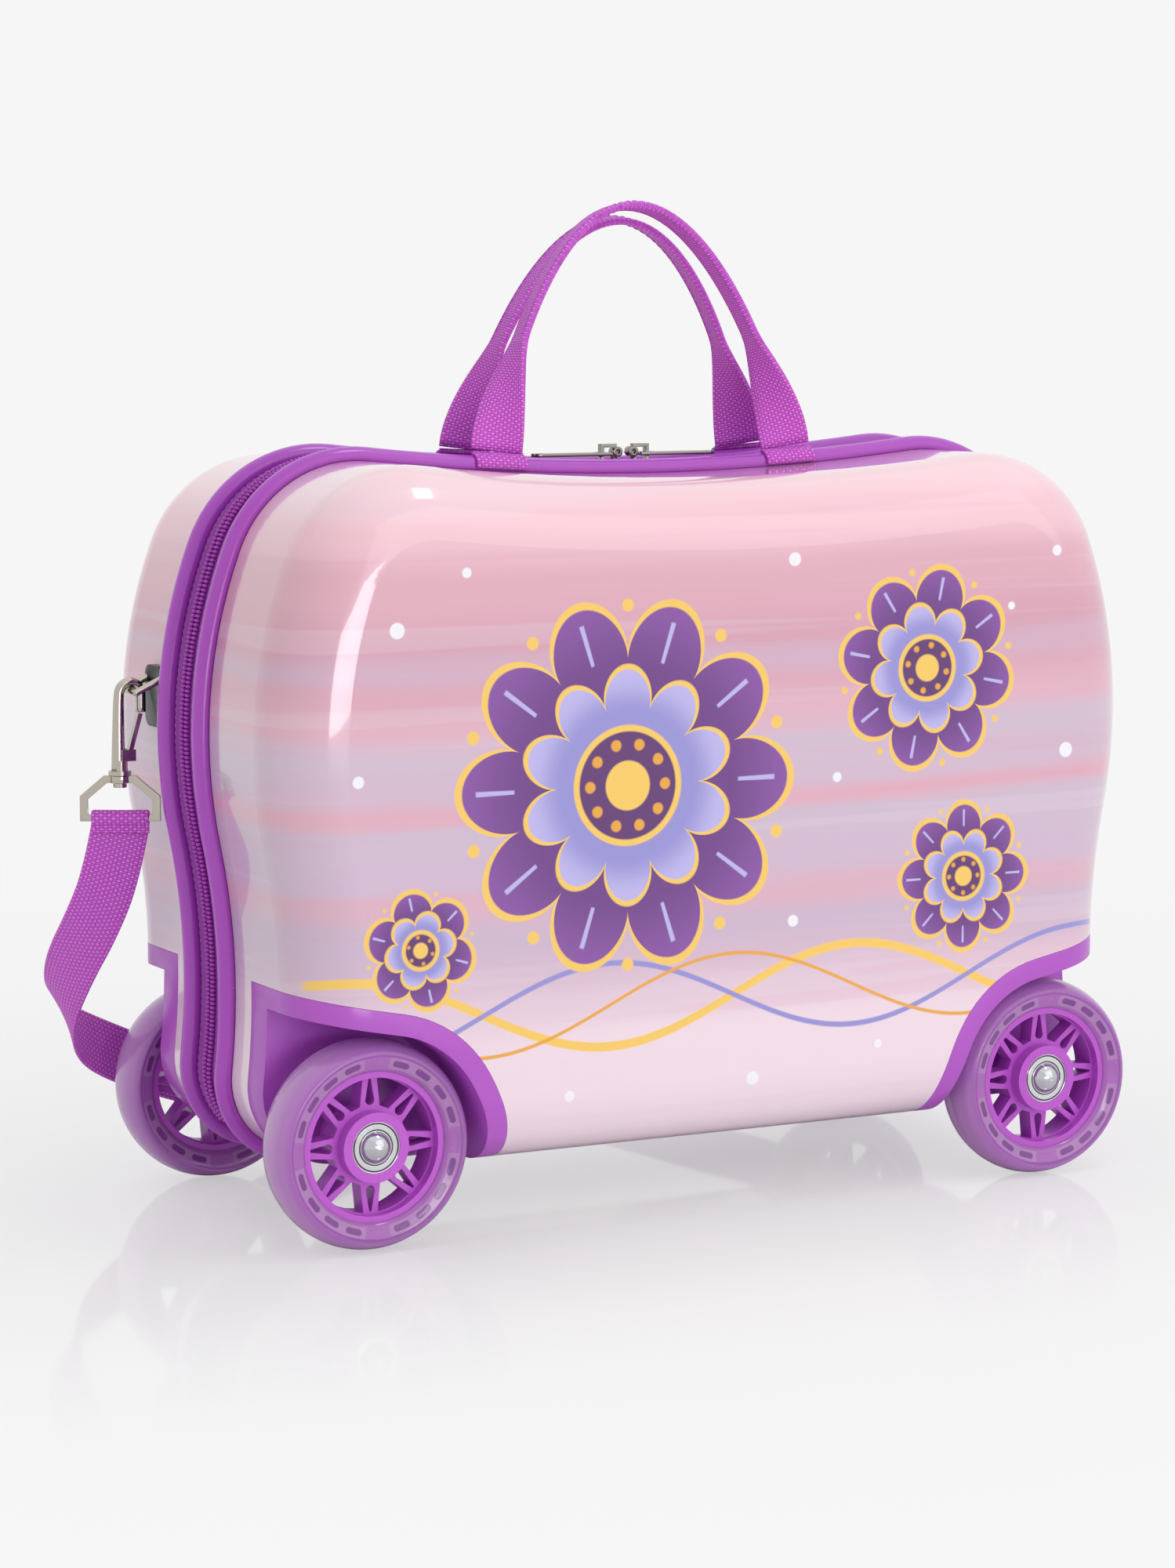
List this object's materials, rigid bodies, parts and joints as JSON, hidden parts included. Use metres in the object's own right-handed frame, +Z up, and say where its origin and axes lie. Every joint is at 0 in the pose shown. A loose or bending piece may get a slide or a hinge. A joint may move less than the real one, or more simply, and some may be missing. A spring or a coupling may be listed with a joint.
{
  "type": "ride-on suitcase",
  "caption": "Child's hard-shell ride-on suitcase with a saddle top, big spoked wheels, piping, a parting zip, webbing handles and a clip-on shoulder strap.",
  "frame": {"origin": "on the floor, under the middle of the case", "axes": "+X along the case to the right-hand end, +Y from the front half to the back half, +Z up"},
  "size_m": [0.4964, 0.2425, 0.441],
  "materials": {
    "shell": "glossy",
    "purple_plastic": "semi-gloss",
    "tyre": "satin",
    "piping": "satin",
    "webbing": "woven",
    "zip_tape": "woven",
    "zip_coil": "satin",
    "nickel": "polished",
    "steel": "brushed",
    "lining": "woven",
    "buckle": "satin"
  },
  "bodies": {
    "back_half": {"back_shell": "shell", "back_left_wheel_housing": "purple_plastic", "back_right_wheel_housing": "purple_plastic", "back_axle_bolts": "steel", "back_axle_nuts": "steel", "back_bearing_spacers": "steel", "back_piping": "piping", "back_zip_tape": "zip_tape", "back_zip_teeth": "zip_coil", "back_hinge_strip": "zip_tape", "back_lining": "lining", "back_handle_tabs": "webbing", "left_strap_anchor": "nickel", "right_strap_anchor": "nickel", "left_swivel_eye": "nickel", "right_swivel_eye": "nickel", "shoulder_strap": "webbing", "packing_straps": "webbing", "packing_buckles": "buckle"},
    "front_half": {"front_shell": "shell", "front_left_wheel_housing": "purple_plastic", "front_right_wheel_housing": "purple_plastic", "front_axle_bolts": "steel", "front_axle_nuts": "steel", "front_bearing_spacers": "steel", "front_piping": "piping", "front_zip_tape": "zip_tape", "front_zip_teeth": "zip_coil", "front_hinge_strip": "zip_tape", "front_lining": "lining", "front_handle_tabs": "webbing"},
    "front_left_wheel": {"front_left_hub": "purple_plastic", "front_left_tyre": "tyre", "front_left_bearings": "steel"},
    "front_right_wheel": {"front_right_hub": "purple_plastic", "front_right_tyre": "tyre", "front_right_bearings": "steel"},
    "back_left_wheel": {"back_left_hub": "purple_plastic", "back_left_tyre": "tyre", "back_left_bearings": "steel"},
    "back_right_wheel": {"back_right_hub": "purple_plastic", "back_right_tyre": "tyre", "back_right_bearings": "steel"},
    "left_slider": {"left_zip_slider": "nickel"},
    "left_pull": {"left_zip_pull": "nickel"},
    "left_snap_hook": {"left_hook": "nickel"},
    "left_gate": {"left_hook_gate": "nickel"},
    "right_slider": {"right_zip_slider": "nickel"},
    "right_pull": {"right_zip_pull": "nickel"},
    "right_snap_hook": {"right_hook": "nickel"},
    "right_gate": {"right_hook_gate": "nickel"},
    "front_grip": {"front_handle": "webbing"},
    "back_grip": {"back_handle": "webbing"}
  },
  "joints": [
    {"name": "case_opening", "type": "hinge", "parent": "back_half", "child": "front_half", "pos_m": [0, 0, 0.0346], "axis": [1, 0, 0], "range_deg": [0, 100]},
    {"name": "front_left_wheel_spin", "type": "hinge", "parent": "front_half", "child": "front_left_wheel", "pos_m": [-0.168, -0.084, 0.045], "axis": [0, 1, 0], "continuous": true},
    {"name": "front_right_wheel_spin", "type": "hinge", "parent": "front_half", "child": "front_right_wheel", "pos_m": [0.168, -0.084, 0.045], "axis": [0, 1, 0], "continuous": true},
    {"name": "back_left_wheel_spin", "type": "hinge", "parent": "back_half", "child": "back_left_wheel", "pos_m": [-0.168, 0.084, 0.045], "axis": [0, 1, 0], "continuous": true},
    {"name": "back_right_wheel_spin", "type": "hinge", "parent": "back_half", "child": "back_right_wheel", "pos_m": [0.168, 0.084, 0.045], "axis": [0, 1, 0], "continuous": true},
    {"name": "right_slider_travel", "type": "hinge", "parent": "back_half", "child": "right_slider", "pos_m": [0, 0, 1.5451], "axis": [0, -1, 0], "range_deg": [0, 5.5]},
    {"name": "right_pull_swing", "type": "hinge", "parent": "right_slider", "child": "right_pull", "pos_m": [0.0082, 0, 0.3286], "axis": [0, -1, 0], "range_deg": [0, 85]},
    {"name": "left_slider_travel", "type": "hinge", "parent": "back_half", "child": "left_slider", "pos_m": [0, 0, 1.5451], "axis": [0, 1, 0], "range_deg": [0, 5.5]},
    {"name": "left_pull_swing", "type": "hinge", "parent": "left_slider", "child": "left_pull", "pos_m": [-0.0082, 0, 0.3286], "axis": [0, 1, 0], "range_deg": [0, 85]},
    {"name": "front_handle_fold", "type": "hinge", "parent": "front_half", "child": "front_grip", "pos_m": [0, -0.0194, 0.3248], "axis": [1, 0, 0], "range_deg": [0, 80]},
    {"name": "back_handle_fold", "type": "hinge", "parent": "back_half", "child": "back_grip", "pos_m": [0, 0.0194, 0.3248], "axis": [-1, 0, 0], "range_deg": [0, 80]},
    {"name": "left_hook_swivel", "type": "hinge", "parent": "back_half", "child": "left_snap_hook", "pos_m": [-0.23, 0.034, 0.192], "axis": [0, 0, 1], "range_deg": [-12, 12]},
    {"name": "left_gate_swing", "type": "hinge", "parent": "left_snap_hook", "child": "left_gate", "pos_m": [-0.2258, 0.034, 0.2009], "axis": [0, -1, 0], "range_deg": [0, 12], "stiffness_Nm_per_rad": 0.03},
    {"name": "right_hook_swivel", "type": "hinge", "parent": "back_half", "child": "right_snap_hook", "pos_m": [0.23, 0.034, 0.192], "axis": [0, 0, 1], "range_deg": [-12, 12]},
    {"name": "right_gate_swing", "type": "hinge", "parent": "right_snap_hook", "child": "right_gate", "pos_m": [0.2258, 0.034, 0.2009], "axis": [0, 1, 0], "range_deg": [0, 12], "stiffness_Nm_per_rad": 0.03}
  ]
}
